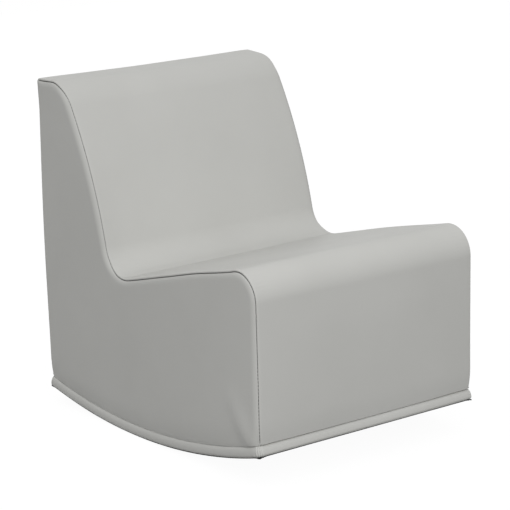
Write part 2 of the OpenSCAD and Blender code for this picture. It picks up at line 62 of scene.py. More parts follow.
# Outline of the seat and the back, before rounding, with its angles in degrees
SEAT_FRONT_H = 0.316
SEAT_DEPTH = 0.354
SEAT_SLOPE = 13
BACK_LEAN = 13
BACK_LOWER_L = 0.155
BACK_UPPER_L = 0.143
BACK_BOW = 16.3
BACK_TOP_DEPTH = 0.074
BACK_TOP_SLOPE = 3.6
SEAT_CROWN = 0.002
REAR_CROWN = 0.004
# Roundings of the outline
TUCK_R = 0.0013
SEAT_FRONT_R = 0.043
CREASE_R = 0.046
BACK_TOP_R = 0.063
REAR_TOP_R = 0.006
BOW_SHARE = 0.97
LEAST_R = 0.001
# Base board with its vinyl, and the dust cloth below it
COVER_T = 0.0012
FIT = 0.0003
CLOTH_T = 0.001
BOARD_T = 0.012
CLOTH_MARGIN = 0.0025
STAPLE_IN = 0.016
BOARD_HEM_W = 0.04
BAND_CORNER_R = 0.0085
BAND_D = CLOTH_T + FIT / 2
BASE_T = BAND_D + 2 * (COVER_T + FIT) + BOARD_T
BAND_HALF = (BASE_T - BAND_D) / 2
BODY_BOTTOM_D = BASE_T + FIT
# Spacing of the meshes' points along straight runs and round turns
STEP = 0.005
TURN_STEP_DEG = 4.0
BUNCHED_STEP_DEG = 1.3
# Steps that give a direction between near points, as a share of a stretch, a length and a distance in, and
# the least length that counts
NEAR_SHARE = 0.001
NEAR_L = 0.0001
NEAR_E = 0.00005
LEAST_L = 1e-9


# Outline of the body


def unit(a):
    return np.array([math.cos(math.radians(a)), math.sin(math.radians(a))])


def inward(a):
    return np.array([math.sin(math.radians(a)), -math.cos(math.radians(a))])


def moved(v, a1, a2, d):
    """Corner v of edges that run at a1 and a2, after both move in by d."""
    return v + (d * unit(a1) - d * unit(a2)) / math.sin(math.radians(a2 - a1))


LOWER_A = 90 - BACK_LEAN
UPPER_A = LOWER_A - BACK_BOW
V_FRONT = np.array([-FRONT_REACH, SEAT_FRONT_H])
V_CREASE = V_FRONT + SEAT_DEPTH * np.array([1, -math.tan(math.radians(SEAT_SLOPE))])
V_BOW = V_CREASE + BACK_LOWER_L * unit(LOWER_A)
V_TOP = V_BOW + BACK_UPPER_L * unit(UPPER_A)
V_REAR = V_TOP + BACK_TOP_DEPTH * np.array([1, math.tan(math.radians(BACK_TOP_SLOPE))])
REAR_REACH = V_REAR[0]
CREASE_RUN = CREASE_R * math.tan(math.radians((LOWER_A + SEAT_SLOPE) / 2))
TOP_RUN = BACK_TOP_R * math.tan(math.radians((UPPER_A - BACK_TOP_SLOPE) / 2))
BOW_RUN = BOW_SHARE * min(BACK_LOWER_L - CREASE_RUN, BACK_UPPER_L - TOP_RUN)
BACK_BOW_R = BOW_RUN / math.tan(math.radians(BACK_BOW / 2))
# The outline's corners: place, directions before and after in degrees, and radius
CORNERS = [
    (V_FRONT, 90, -SEAT_SLOPE, SEAT_FRONT_R),
    (V_CREASE, -SEAT_SLOPE, LOWER_A, CREASE_R),
    (V_BOW, LOWER_A, UPPER_A, BACK_BOW_R),
    (V_TOP, UPPER_A, BACK_TOP_SLOPE, BACK_TOP_R),
    (V_REAR, BACK_TOP_SLOPE, -90, REAR_TOP_R),
]


def arc(v, a1, a2, r):
    """Rounding of radius r at corner v, as a function of t from 0 to 1."""
    s = 1 if a1 > a2 else -1
    c = v - r * math.tan(math.radians(abs(a1 - a2) / 2)) * unit(a1) + s * r * inward(a1)
    return lambda t: c - s * r * inward(a1 + (a2 - a1) * t)


def line(p, q, swell=(0, 0)):
    """Run from p to q, which swells by a vector in its middle and keeps its direction at both ends."""
    return lambda t: p + (q - p) * t + 16 * t**2 * (1 - t) ** 2 * np.array(swell)


def base_z(y, r):
    return ROCKER_R - math.sqrt(r * r - y * y)


def base_a(y, r):
    return math.degrees(math.asin(y / r))


def stretches(d=0, foot=0, tuck=0):
    """The outline's stretches in order, moved in by d: name to function of t.

    Its bottom is at height foot and meets the front and the rear with roundings of radius tuck.
    """
    r = ROCKER_R - BODY_BOTTOM_D - foot
    y0, y1 = d - FRONT_REACH, REAR_REACH - d
    front_top, crease, bow, back_top, rear_top = (
        arc(moved(v, a1, a2, d), a1, a2, radius + d if a1 < a2 else max(radius - d, LEAST_R))
        for v, a1, a2, radius in CORNERS
    )
    front_tuck = arc(np.array([y0, base_z(y0, r)]), 180 + base_a(y0, r), 90, tuck)
    rear_tuck = arc(np.array([y1, base_z(y1, r)]), -90, base_a(y1, r) - 180, tuck)
    low_y0, low_y1 = front_tuck(0)[0], rear_tuck(1)[0]

    def under(t):
        y = low_y1 + (low_y0 - low_y1) * t
        return np.array([y, base_z(y, r)])

    return {
        "front_tuck": front_tuck,
        "front": line(front_tuck(1), front_top(0)),
        "front_top": front_top,
        "seat": line(front_top(1), crease(0), -SEAT_CROWN * inward(-SEAT_SLOPE)),
        "crease": crease,
        "lower_back": line(crease(1), bow(0)),
        "bow": bow,
        "upper_back": line(bow(1), back_top(0)),
        "back_top": back_top,
        "top": line(back_top(1), rear_top(0)),
        "rear_top": rear_top,
        "rear": line(rear_top(1), rear_tuck(0), (REAR_CROWN, 0)),
        "rear_tuck": rear_tuck,
        "under": under,
    }


def run_length(f, n=24):
    p = np.array([f(k / n) for k in range(n + 1)])
    return float(np.linalg.norm(np.diff(p, axis=0), axis=1).sum())


TURN_END_SHARE = 0.01


def turn_deg(f):
    """Angle that a stretch turns through, in degrees."""
    ends = [f(TURN_END_SHARE) - f(0), f(1) - f(1 - TURN_END_SHARE)]
    a = [math.atan2(e[1], e[0]) for e in ends]
    return abs(math.degrees(math.remainder(a[1] - a[0], 2 * math.pi)))


# Where along which turns the side seams bunch the vinyl, so that their meshes are finer
BUNCHED_SHARES = {"front_top": 0.5, "crease": 0.45, "back_top": 0.6}
OUTLINE = stretches(tuck=TUCK_R)
RUNS = {name: run_length(f) for name, f in OUTLINE.items()}


def mesh_steps(name, f):
    turn_step = BUNCHED_STEP_DEG if name in BUNCHED_SHARES else TURN_STEP_DEG
    return max(math.ceil(RUNS[name] / STEP), math.ceil(turn_deg(f) / turn_step), 2)


COUNTS = {name: mesh_steps(name, f) for name, f in OUTLINE.items()}
STARTS = dict(zip(RUNS, np.cumsum([0] + list(RUNS.values())[:-1])))


def steps(names):
    """The mesh steps of some stretches, as (name, share)."""
    return [(name, k / COUNTS[name]) for name in names for k in range(COUNTS[name])]


# Stretches that the side seams follow, from the board up the front, over the top and down the rear
SEAMED = [name for name in OUTLINE if name not in ("front_tuck", "rear_tuck", "under")]


def seamed_run(d, foot):
    """The seamed stretches moved in by d, as one open run that starts and ends at the foot."""
    parts = stretches(d, foot)
    return np.array([parts[name](t) for name, t in steps(SEAMED)] + [parts["rear"](1)])


def place_of(name, t=0.0):
    """Length along the outline at a named stretch's share t."""
    return STARTS[name] + RUNS[name] * t


def at_length(s):
    """Point of the outline at length s, and the direction inwards there."""
    name = [k for k in STARTS if STARTS[k] <= s + LEAST_L][-1]
    t = min(max((s - STARTS[name]) / RUNS[name], 0), 1)
    f = OUTLINE[name]
    run = f(min(t + NEAR_SHARE, 1)) - f(max(t - NEAR_SHARE, 0))
    run /= np.linalg.norm(run)
    return f(t), np.array([run[1], -run[0]])


def stations(start, end):
    """Lengths along the outline of the mesh rows between start and end."""
    inside = [place_of(name, t) for name, t in steps(COUNTS)]
    gap = STEP / 8
    return [start] + [s for s in inside if start + gap < s < end - gap] + [end]


def rolled(points, a):
    """Rolls (x, depth, height) back about the rocker's centre by a degrees."""
    p = np.asarray(points, dtype=float)
    c, s = math.cos(math.radians(a)), math.sin(math.radians(a))
    y, z = p[..., 1], p[..., 2] - ROCKER_R
    return np.stack([p[..., 0], y * c + z * s, ROCKER_R - y * s + z * c], axis=-1)


# Middle of the seat's depth at rest, which is the frame's middle
ENDS = rolled([[0, -FRONT_REACH, base_z(-FRONT_REACH, ROCKER_R)], [0, *V_REAR]], REST_LEAN)
MIDDLE = ENDS.mean(axis=0) * [0, 1, 0]


def at_rest(points):
    """Takes (x, depth, height) in the upright outline's plane to where the seat stands at rest."""
    return rolled(points, REST_LEAN) - MIDDLE


def upright(points):
    """Takes points of the seat at rest back to (x, depth, height) in the upright outline's plane."""
    return rolled(np.asarray(points) + MIDDLE, -REST_LEAN)


# Materials. Their colours are linear, as (dark, light), and their bumps' depths are in metres

VINYL_GREYS = (0.535, 0.565)
VINYL_WARMTH = 0.022
# The thread is real, but its near-black greys are painted shade that darkens the seams' grooves
THREAD_AND_GROOVE_SHADE_GREYS = (0.03, 0.09)
CLOTH_GREYS = (0.012, 0.032)
FOAM_TONES = ((0.5, 0.42, 0.22), (0.72, 0.64, 0.4))
PLYWOOD_TONES = ((0.44, 0.29, 0.15), (0.62, 0.45, 0.27))
PLY_EDGE_GREYS = (0.75, 1.0)
SOFTWOOD_TONES = ((0.52, 0.35, 0.18), (0.7, 0.52, 0.31))
HARDBOARD_TONES = ((0.16, 0.08, 0.035), (0.26, 0.14, 0.065))
ZINC_TONES = ((0.52, 0.53, 0.52), (0.66, 0.66, 0.63))
WHITE = (1, 1, 1, 1)


def add_node(tree, kind, inputs=None, **settings):
    """New node in a tree, with its settings made and its inputs linked or set."""
    node = tree.nodes.new(kind)
    for key, value in settings.items():
        setattr(node, key, value)
    for key, value in (inputs or {}).items():
        if isinstance(value, bpy.types.NodeSocket):
            tree.links.new(value, node.inputs[key])
        else:
            node.inputs[key].default_value = value
    return node


def span(tree, value, low, high):
    """From low to high as value goes from 0 to 1."""
    inputs = {"Value": value, "To Min": low, "To Max": high}
    return add_node(tree, "ShaderNodeMapRange", inputs).outputs["Result"]


class Nodes:
    """Short hand for a material's node tree around one Principled shader."""

    def __init__(self, name, **sockets):
        self.material = bpy.data.materials.new(name)
        self.material.use_nodes = True
        self.tree = self.material.node_tree
        self.shader = self.tree.nodes["Principled BSDF"]
        for socket, value in sockets.items():
            self.shader.inputs[socket.replace("_", " ")].default_value = value
        self.coords = self.add("ShaderNodeTexCoord").outputs["Object"]

    def add(self, kind, inputs=None, **settings):
        return add_node(self.tree, kind, inputs, **settings)

    def noise(self, scale, detail=2.0, distortion=0.0, where=None):
        inputs = {"Vector": where or self.coords, "Scale": scale, "Detail": detail, "Distortion": distortion}
        return self.add("ShaderNodeTexNoise", inputs).outputs["Fac"]

    def cells(self, scale):
        return self.add("ShaderNodeTexVoronoi", {"Vector": self.coords, "Scale": scale}).outputs["Distance"]

    def tones(self, fac, colours, low=0.3, high=0.7):
        """From the first colour to the second as fac goes from low to high."""
        ramp = self.add("ShaderNodeValToRGB", {"Fac": fac})
        for element, at, colour in zip(ramp.color_ramp.elements, (low, high), colours):
            element.position = at
            element.color = (*colour, 1)
        return ramp.outputs["Color"]

    def colour(self, socket):
        self.tree.links.new(socket, self.shader.inputs["Base Color"])

    def roughness(self, fac, low, high):
        self.tree.links.new(span(self.tree, fac, low, high), self.shader.inputs["Roughness"])

    def bump(self, *layers):
        """Layers of (height, depth), one on another."""
        last = None
        for height, depth in layers:
            inputs = {"Height": height, "Distance": depth}
            if last:
                inputs["Normal"] = last
            last = self.add("ShaderNodeBump", inputs).outputs["Normal"]
        self.tree.links.new(last, self.shader.inputs["Normal"])


def shades(greys, warmth=0.0):
    """Colours for greys, warm ones with a little less blue."""
    return [(grey, grey, grey - warmth) for grey in greys]


def vinyl_material():
    """Smooth upholstery vinyl: a fine pressed grain, faint mottling and handling marks."""
    m = Nodes("soft_vinyl", Specular_IOR_Level=0.35)
    mottle = m.noise(scale=7.0, detail=4.0)
    m.colour(m.tones(mottle, shades(VINYL_GREYS, VINYL_WARMTH), 0.25, 0.75))
    m.roughness(m.noise(scale=45.0, detail=3.0), 0.5, 0.62)
    m.bump((m.noise(scale=240.0), 0.00008), (m.cells(scale=1500.0), 0.00004))
    return m.material


# Real seam thread, coloured near black as painted shade along the seams' grooves
def thread_and_groove_shade_material():
    m = Nodes("seam_thread_and_groove_shade", Roughness=0.75)
    twist = m.noise(scale=2500.0, detail=1.0)
    m.colour(m.tones(twist, shades(THREAD_AND_GROOVE_SHADE_GREYS)))
    m.bump((twist, 0.00005))
    return m.material


def dust_cloth_material():
    """Black spunbond cloth: matted fibres with a few thin places."""
    m = Nodes("black_spunbond", Roughness=0.92)
    fibres = m.noise(scale=900.0, detail=3.0, distortion=1.5)
    m.colour(m.tones(fibres, shades(CLOTH_GREYS), 0.35, 0.65))
    m.bump((fibres, 0.0001), (m.cells(scale=420.0), 0.00008))
    return m.material


def foam_material():
    m = Nodes("cut_foam", Roughness=0.95)
    pores = m.cells(scale=750.0)
    m.colour(m.tones(pores, FOAM_TONES, 0.1, 0.6))
    m.bump((pores, 0.0003))
    return m.material


def wood_material(name, colours, grain, plies=None):
    """Wood with its grain along one axis, and for plywood the edges of its plies across another."""
    m = Nodes(name, Roughness=0.6)
    stretch = tuple(0.08 if k == grain else 1.0 for k in range(3))
    stretched = m.add("ShaderNodeMapping", {"Vector": m.coords, "Scale": stretch}).outputs["Vector"]
    figure = m.noise(scale=160.0, detail=6.0, distortion=0.8, where=stretched)
    wood = m.tones(figure, colours)
    if plies is not None:
        inputs = {"Vector": m.coords, "Scale": 105.0, "Distortion": 0.4}
        layers = m.add("ShaderNodeTexWave", inputs, bands_direction="XYZ"[plies]).outputs["Fac"]
        product = {"Factor": 1.0, "A": wood, "B": m.tones(layers, shades(PLY_EDGE_GREYS), 0.35, 0.6)}
        wood = m.add("ShaderNodeMix", product, data_type="RGBA", blend_type="MULTIPLY").outputs["Result"]
    m.colour(wood)
    m.bump((figure, 0.0002))
    return m.material


def hardboard_material():
    m = Nodes("hardboard", Roughness=0.5)
    m.colour(m.tones(m.noise(scale=500.0, detail=4.0), HARDBOARD_TONES))
    m.bump((m.cells(scale=600.0), 0.0001))
    return m.material


def steel_material():
    m = Nodes("zinc_plated_steel", Metallic=1.0)
    spangle = m.noise(scale=300.0, detail=3.0)
    m.colour(m.tones(spangle, ZINC_TONES))
    m.roughness(spangle, 0.28, 0.45)
    m.bump((m.noise(scale=1200.0), 0.00003))
    return m.material


VINYL = vinyl_material()
THREAD_AND_GROOVE_SHADE = thread_and_groove_shade_material()
DUST_CLOTH = dust_cloth_material()
FOAM = foam_material()


# Meshes


def wobble(p, *waves):
    """Smooth unevenness at point p, summed over waves of (size, bumps per metre, seed)."""
    total = 0.0
    for size, scale, seed in waves:
        place = Vector((p[0] * scale + seed, p[1] * scale - seed, p[2] * scale + 2 * seed))
        total += size * noise.noise(place)
    return total


def placed(name, data):
    """New object in the scene for a mesh, lamp or camera."""
    obj = bpy.data.objects.new(name, data)
    bpy.context.scene.collection.objects.link(obj)
    return obj


def new_object(name, verts, faces, material):
    mesh = bpy.data.meshes.new(name)
    mesh.from_pydata([tuple(v) for v in verts], [], faces)
    mesh.validate()
    mesh.materials.append(material)
    mesh.shade_smooth()
    mesh.update()
    return placed(name, mesh)


def grid_faces(rows, cols, close_cols=False, flip=False):
    """Faces of a grid whose points come row by row."""
    faces = []
    for i in range(rows - 1):
        for j in range(cols if close_cols else cols - 1):
            a, b = i * cols + j, i * cols + (j + 1) % cols
            c, e = b + cols, a + cols
            faces.append((a, e, c, b) if flip else (a, b, c, e))
    return faces


def dress(obj, slot, *nodes):
    """Settles what a piece rides on and stands for; its slot is not used."""
    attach(obj, "root")
    if nodes:
        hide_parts(*nodes)
    return obj


def cover(name, node, verts, faces, material=VINYL, thickness=COVER_T, slot="vinyl"):
    """Sheet in place of a node, from its outer face in the upright plane, thickened inwards."""
    obj = new_object(name, at_rest(verts), faces, material)
    solid = obj.modifiers.new("thickness", "SOLIDIFY")
    solid.thickness = thickness
    solid.offset = -1
    return dress(obj, slot, node)


def smooth_step(v, low, high):
    t = min(max((v - low) / (high - low), 0), 1)
    return t * t * (3 - 2 * t)


def hump(v, middle, reach):
    """1 at the middle, falling off to nothing a few reaches away."""
    return math.exp(-(((v - middle) / reach) ** 2))


# Rims beside the seams. A cover rounds off towards its seam, where its bead meets the other cover's bead,
# and both turn in side by side as seam allowances. Between the beads of an open seam is a dark groove.

SEAM_X = 0.1976
ALLOWANCE = 0.003
ALLOWANCE_SHARES = [1, 0.6, 0.25]
SIDE_FACE_X = 0.2034
# Closed and open side seams: where their two covers meet as (distance in from the outline, across), how far
# round the side's bead they do, in degrees, and the way out of the groove as (across, out of the outline)
CONTACTS = ((0.0024, SEAM_X), (0.0036, 0.2))
MEETS = (135, 110)
GROOVES = ((0.71, 0.71), (0.94, 0.34))
# Reach of each rim's rounding, and for a closed and for an open seam its bead: radius, slope in degrees, and
# the gap between the two beads
SIDE_REACH = 0.0115
SIDE_BEADS = ((0.0008, 52, 0.0002), (0.0015, 26, 0.0009))
WRAP_REACH = 0.0115
WRAP_BEADS = ((0.0007, 28, 0.0002), (0.0016, 10, 0.0009))
END_SEAM_E = 0.0018
END_REACH = 0.008
END_BEAD = (0.0012, 8, 0.0008)
BEAD_STEPS = 9
FALL_SHARES = [0.05, 0.12, 0.21, 0.32, 0.45, 0.6, 0.78, 1.0]
FALL_START = len(ALLOWANCE_SHARES) + BEAD_STEPS
# How open the side seams are along the outline: stretch, share of its length, and opening
OPENING_SHARES = [
    ("front_tuck", 0, 0.35), ("front", 0.4, 0.35), ("front", 1, 0.6), ("front_top", 0.6, 0.9),
    ("seat", 0.15, 1), ("seat", 0.9, 1), ("crease", 0.4, 0.75), ("crease", 0.7, 0.1),
    ("lower_back", 0.3, 0), ("upper_back", 0.5, 0), ("back_top", 0.25, 0.1), ("back_top", 0.65, 0.8),
    ("top", 0.5, 1), ("rear_top", 0.5, 1), ("rear", 0.1, 0.4), ("rear_tuck", 1, 0.4),
]


def opening(s):
    """How open a side seam is at length s: 0 closed to a crease, 1 with a full groove."""
    places = [place_of(name, t) for name, t, _ in OPENING_SHARES]
    return float(np.interp(s, places, [v for _, _, v in OPENING_SHARES]))


def mixed(start, end, share):
    return start + (end - start) * share


def rim(contact, bead, face, reach, meet_deg):
    """Profile of a cover's rim as (along, out) pairs, from its seam allowance to its flat face.

    along runs from the seam over the cover, and out is square to it. contact is the seam line, bead the
    bead's radius, its slope where it passes into the fall and its gap, face the flat face's out, reach the
    distance at which the cover lies flat, and meet_deg how far round the bead it meets its neighbour.
    """
    radius, slope_deg, gap = bead
    centre = np.array(contact) + (radius + gap / 2) * inward(meet_deg)
    meet = centre - radius * inward(meet_deg)
    out = [meet - ALLOWANCE * q * unit(meet_deg) for q in ALLOWANCE_SHARES]
    for k in range(BEAD_STEPS + 1):
        out.append(centre - radius * inward(mixed(meet_deg, slope_deg, k / BEAD_STEPS)))
    start = out[-1]
    fall, fall_w = face - start[1], contact[0] + reach - start[0]
    power = fall_w * math.tan(math.radians(slope_deg)) / fall
    out += [start + np.array([fall_w * q, fall * (1 - (1 - q) ** power)]) for q in FALL_SHARES]
    return np.array(out)


# Shape of the padded body beyond its outline. Each span is the two depths or heights between which a form
# comes in or fades.

# Pulled in above the board
PULL_H = 0.032
PULL_X = 0.0024
PULL_Y = 0.002
# Full at the front, below the seat
FRONT_FULL = 0.0022
FRONT_SPAN_Y = (FRONT_REACH - 0.05, FRONT_REACH - 0.01)
FRONT_SPAN_Z = (0.2, 0.3)
# Slack on top
TOP_SAG = 0.0011
TOP_SPAN_Z = (0.46, 0.5)
# Seat padding pressed lower at the left, and less so towards the front: share and span of each easing
SEAT_LOW = 0.0037
SEAT_SPAN_Z = (0.14, 0.235)
SEAT_SPAN_Y = (0.035, 0.085)
SEAT_EASINGS = ((0.47, 0.09, 0.17), (0.5, 0.235, 0.275))
# Padding of the head fuller at the left
HEAD_HIGH = 0.0034
HEAD_AT = 0.186
HEAD_REACH = 0.026
HEAD_SPAN_Z = (0.46, 0.49)


def board_height(y, z):
    """Height above the underside of the covers, square to the board."""
    return ROCKER_R - BODY_BOTTOM_D - math.hypot(y, z - ROCKER_R)


def across_share(x):
    """1 in the middle of the body's width, 0 at the side seams."""
    return max(1 - (x / SEAM_X) ** 2, 0)


def left_share(x):
    """1 at the left side seam, 0 at the right one."""
    return 0.5 - x / (2 * SEAM_X)


def seat_drop(x, y, z):
    """How far the seat's padding is pressed down at a point."""
    seat = smooth_step(z, *SEAT_SPAN_Z) * (1 - smooth_step(y, *SEAT_SPAN_Y))
    forward = 1.0
    for share, low, high in SEAT_EASINGS:
        forward -= share * smooth_step(-y, low, high)
    return SEAT_LOW * seat * forward * left_share(x)


def head_rise(x, y, z):
    """How far the head's padding stands up behind its front edge."""
    left = max(left_share(x), 0)
    return HEAD_HIGH * smooth_step(z, *HEAD_SPAN_Z) * hump(y, HEAD_AT, HEAD_REACH) * left**2


def shaped(x, y, z):
    """Moves a point of the covers' outline from the plain section to the padded body's surface."""
    near_board = max(1 - max(board_height(y, z), 0) / PULL_H, 0) ** 2
    front = smooth_step(-y, *FRONT_SPAN_Y) * (1 - smooth_step(z, *FRONT_SPAN_Z))
    top = smooth_step(z, *TOP_SPAN_Z)
    x1 = x - near_board * PULL_X * x / SEAM_X
    y1 = y - near_board * PULL_Y * y / FRONT_REACH - FRONT_FULL * front * across_share(x)
    z1 = z - TOP_SAG * top * across_share(x) - seat_drop(x, y, z) + head_rise(x, y, z)
    return np.array([x1, y1, z1])


# Side panels

INNER_STEP = 0.007
FOOT_R = 0.0013
FOOT_STEPS = 5
FOOT_HEM = 0.008
CORNER_SLANT_DEG = 45
SIDE_WAVES = ((0.00035, 7.0, 3.1), (0.000175, 17.0, 1.7))
# Tension valleys on a side panel, and raised folds where the depth is below zero: from (y, z) to (y, z),
# width and depth
SIDE_DRAGS = [
    ((-0.281, 0.052), (-0.222, 0.137), 0.015, -0.0034),
    ((-0.288, 0.05), (-0.225, 0.066), 0.006, 0.0006),
    ((0.222, 0.045), (0.17, 0.09), 0.009, 0.0008),
    ((0.05, 0.262), (0.02, 0.2), 0.012, 0.0006),
]
# Shares of its length between which a valley comes in, from before its start
DRAG_START_SHARES = (-0.15, 0.1)
# The triangulation keeps only what lies inside its ring, and joins points this near
KEEP_INSIDE = 1
JOIN_L = 0.000001


def drag(y, z, start, end, width, depth):
    """Depth of a soft valley that runs from start to end and fades out towards its end."""
    run = np.subtract(end, start)
    length = float(np.linalg.norm(run))
    away = np.subtract((y, z), start)
    t = float(away @ run) / length**2
    off = abs(float(away[0] * run[1] - away[1] * run[0])) / length
    if t < DRAG_START_SHARES[0] or t > 1:
        return 0.0
    return depth * (1 - max(t, 0)) * hump(off, 0, width) * smooth_step(t, *DRAG_START_SHARES)


def side_relief(y, z):
    """How far a side panel stands out at a place, beyond its flat face."""
    return wobble((0, y, z), *SIDE_WAVES) - sum(drag(y, z, *d) for d in SIDE_DRAGS)


def inner_points(ring, step):
    """Points of a staggered grid inside a ring, clear of its edge."""
    low, high = ring.min(axis=0), ring.max(axis=0)
    following = np.roll(ring, -1, axis=0)
    run = following - ring
    rise = np.where(run[:, 1] == 0, 1, run[:, 1])
    out = []
    for i in range(1, int((high[1] - low[1]) / step)):
        for j in range(1, int((high[0] - low[0]) / step)):
            p = np.array([low[0] + (j + 0.5 * (i % 2)) * step, low[1] + i * step])
            crossed = (ring[:, 1] > p[1]) != (following[:, 1] > p[1])
            at = run[:, 0] * (p[1] - ring[:, 1]) / rise + ring[:, 0]
            inside = np.sum(crossed & (p[0] < at)) % 2
            if inside and np.min(np.hypot(*(ring - p).T)) > 0.5 * step:
                out.append(p)
    return out


def side_rings():
    """Open rings of a side panel from its seam inwards, each point as (x, depth, height)."""
    at = [place_of(name, t) for name, t in steps(SEAMED)] + [place_of("rear", 1)]
    share = np.array([opening(s) for s in at])[:, None]
    profiles = [
        rim(contact, bead, SIDE_FACE_X, SIDE_REACH, meet)
        for contact, bead, meet in zip(CONTACTS, SIDE_BEADS, MEETS)
    ]
    rings = []
    for (closed_e, closed_x), (open_e, open_x) in zip(*profiles):
        places = mixed(seamed_run(closed_e, FOOT_R), seamed_run(open_e, FOOT_R), share)
        rings.append(np.hstack([mixed(closed_x, open_x, share), places]))
    return rings


def filled_face(run, first, points):
    """Fills a side panel's face inside its last ring, whose places are run and whose points start at first.

    It adds the new points, and gives the triangles and the lower edge's new points from the rear forwards.
    """
    count = math.ceil((run[-1, 0] - run[0, 0]) / STEP)
    foot_y = [run[-1, 0] + (run[0, 0] - run[-1, 0]) * k / count for k in range(1, count)]
    foot = [(y, base_z(y, ROCKER_R - BODY_BOTTOM_D - FOOT_R)) for y in foot_y]
    ring = np.vstack([run, foot])
    edge = [Vector(p) for p in ring]
    inner = [Vector(p) for p in inner_points(ring, INNER_STEP)]
    loops = [list(range(len(edge)))]
    flat, _, triangles, sources, _, _ = delaunay_2d_cdt(edge + inner, [], loops, KEEP_INSIDE, JOIN_L)
    index = []
    for place, source in zip(flat, sources):
        at_ring = source[0] if source else len(ring)
        if at_ring < len(run):
            index.append(first + at_ring)
            continue
        if at_ring < len(ring):
            foot[at_ring - len(run)] = len(points)
        index.append(len(points))
        points.append(((SIDE_FACE_X, place[0], place[1]), 1.0))
    return [tuple(index[k] for k in t) for t in triangles], foot


def under_foot(point, from_face, a, hem):
    """Where a point of the lower edge goes as the vinyl turns under by angle a, with a hem beyond."""
    x, y, z = point
    slant = math.radians(CORNER_SLANT_DEG) * from_face
    inset = FOOT_R * (1 - math.cos(a)) + hem
    down = np.array([y, z - ROCKER_R]) / math.hypot(y, z - ROCKER_R) * FOOT_R * math.sin(a)
    y_in = -math.copysign(inset * math.sin(slant), y)
    return x - inset * math.cos(slant), y + y_in + down[0], z + down[1]


def turned_under(lower, slants, points):
    """Adds the rows of points that turn a panel's lower edge under, and gives their faces."""
    quads = []
    last = lower
    for row in range(1, FOOT_STEPS + 2):
        a = math.radians(90 * min(row, FOOT_STEPS) / FOOT_STEPS)
        hem = FOOT_HEM if row > FOOT_STEPS else 0
        new = range(len(points), len(points) + len(lower))
        for k, slant in zip(lower, slants):
            points.append((under_foot(points[k][0], slant, a, hem), points[k][1]))
        quads += [(last[j], new[j], new[j + 1], last[j + 1]) for j in range(len(lower) - 1)]
        last = new
    return quads


def side_panel(side):
    """One side's vinyl: rims rolled in to the seams, a slightly uneven face, and its foot turned under."""
    rings = side_rings()
    n, depth = len(rings[0]), len(rings)
    # Each point with the share of the face's relief that it takes
    points = [(tuple(p), smooth_step(k, FALL_START, depth - 1)) for k, r in enumerate(rings) for p in r]
    triangles, foot = filled_face(rings[-1][:, 1:], (depth - 1) * n, points)
    # Lower edge from the front seam to the rear seam, and how far each point is from the face towards a seam
    lower = [k * n for k in range(depth)] + foot[::-1] + [k * n + n - 1 for k in range(depth)[::-1]]
    slants = [1 - k / (depth - 1) for k in range(depth)]
    slants = slants + [0] * len(foot) + slants[::-1]
    faces = grid_faces(depth, n, flip=side > 0)
    for face in triangles + turned_under(lower, slants, points):
        faces.append(face if side > 0 else face[::-1])
    verts = [shaped(side * (x + side_relief(y, z) * share), y, z) for (x, y, z), share in points]
    name = "right" if side > 0 else "left"
    return cover(f"side_vinyl_{name}", f"side_cover_{name}", verts, faces)


# Covers that run over the body from side to side

COLUMN_STEP = 0.0065
WRAP_WAVES = ((0.00035, 6.0, 2.3), (0.000175, 15.0, 7.9))
# Puckers: pitch, reach across and along from where a seam bunches, and depth, with the unevenness of their
# phase and depth
PUCKER_PITCH = 0.0062
PUCKER_L = 0.016
PUCKER_REACH = 0.022
PUCKER_D = 0.00021
PUCKER_WANDER = (2.5, 28.0, 5.0)
PUCKER_UNEVEN = (0.00028, 60.0, 1.0)
LEAST_PUCKER_SHARE = 0.01
# Line at the foot of the back: place, depth and half width, with the unevenness of its place and depth
CREASE_LINE = place_of("crease", 0.16)
CREASE_DIP = 0.00088
CREASE_DIP_W = 0.005
CREASE_WANDER = (0.004, 9.0, 4.4)
CREASE_UNEVEN = (0.00066, 11.0, 8.1)
REAR_SEAM = place_of("rear_top", 0.5)


def columns():
    """Across a wrapped cover, for a closed and an open seam: (x, distance in), with a rim at each side."""
    out = []
    for (e, x), bead, meet in zip(CONTACTS, WRAP_BEADS, MEETS):
        right = [(-along, -out_by) for along, out_by in rim((-x, -e), bead, 0.0, WRAP_REACH, 270 - meet)]
        half = right[-1][0]
        n = math.ceil(2 * half / COLUMN_STEP)
        middle = [(half - 2 * half * k / n, 0.0) for k in range(1, n)]
        out.append(np.array(right + middle + [(-x, d) for x, d in reversed(right)]))
    return out


def end_rim(s, towards):
    """Rows of a cover's rim at an end seam at length s: (length, distance in), from the seam on."""
    profile = rim((0.0, -END_SEAM_E), END_BEAD, 0.0, END_REACH, 90)
    return [(s + towards * along, -out_by) for along, out_by in profile]


def pucker(x, s):
    """Fine ridges beside a side seam where it bunches the cover."""
    beside = math.exp(-max(SEAM_X - abs(x), 0) / PUCKER_L)
    near = sum(hump(s, place_of(name, t), PUCKER_REACH) for name, t in BUNCHED_SHARES.items())
    if beside * near < LEAST_PUCKER_SHARE:
        return 0.0
    phase = 2 * math.pi * s / PUCKER_PITCH + wobble((x, s, 0), PUCKER_WANDER)
    return (PUCKER_D + wobble((0, s, x), PUCKER_UNEVEN)) * beside * near * math.sin(phase)


def wrap_relief(x, s):
    """How far a wrapped cover dips at (x, length along the outline)."""
    line_at = CREASE_LINE + wobble((x, 0, 0), CREASE_WANDER)
    crease = (CREASE_DIP + wobble((x, 0, 0), CREASE_UNEVEN)) * hump(s, line_at, CREASE_DIP_W)
    return wobble((x, s, 0), *WRAP_WAVES) + crease + pucker(x, s)


